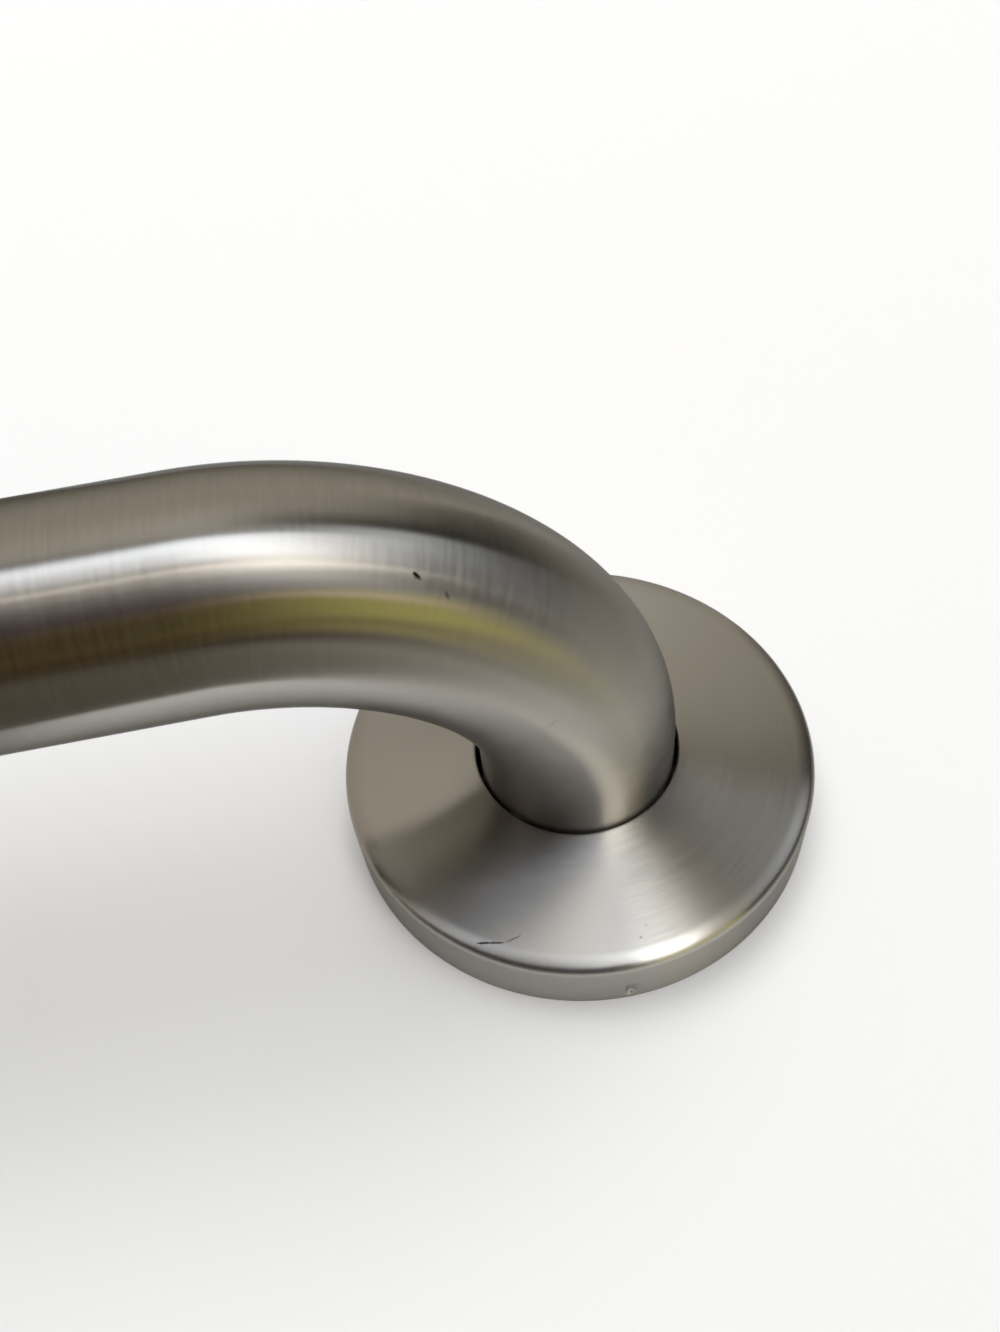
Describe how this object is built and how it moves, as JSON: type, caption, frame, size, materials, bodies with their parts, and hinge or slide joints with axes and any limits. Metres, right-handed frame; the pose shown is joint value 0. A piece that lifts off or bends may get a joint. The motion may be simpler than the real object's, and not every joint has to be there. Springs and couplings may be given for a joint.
{
  "type": "grab bar",
  "caption": "Short wall-mounted grab bar: a bent steel tube with a quarter-turn leg at each end, welded to round mounting plates under push-on covers.",
  "frame": {"origin": "on the wall plane, midway between the centres of the two flanges", "axes": "+X along the bar, +Z away from the wall, so the backs of both flanges lie in the plane Z = 0"},
  "size_m": [0.378, 0.078, 0.083],
  "materials": {
    "brushed_tube": "satin stainless steel, brushed round the tube",
    "brushed_cover": "satin stainless steel, spun on the face and brushed round the skirt",
    "plate_steel": "dull mill-finish stainless steel",
    "weld_metal": "rippled weld metal with a faint heat tint"
  },
  "bodies": {
    "root": {"bar_tube": "brushed_tube", "left_cover": "brushed_cover", "left_mounting_plate": "plate_steel", "left_weld_bead": "weld_metal", "right_cover": "brushed_cover", "right_mounting_plate": "plate_steel", "right_weld_bead": "weld_metal"}
  },
  "joints": []
}
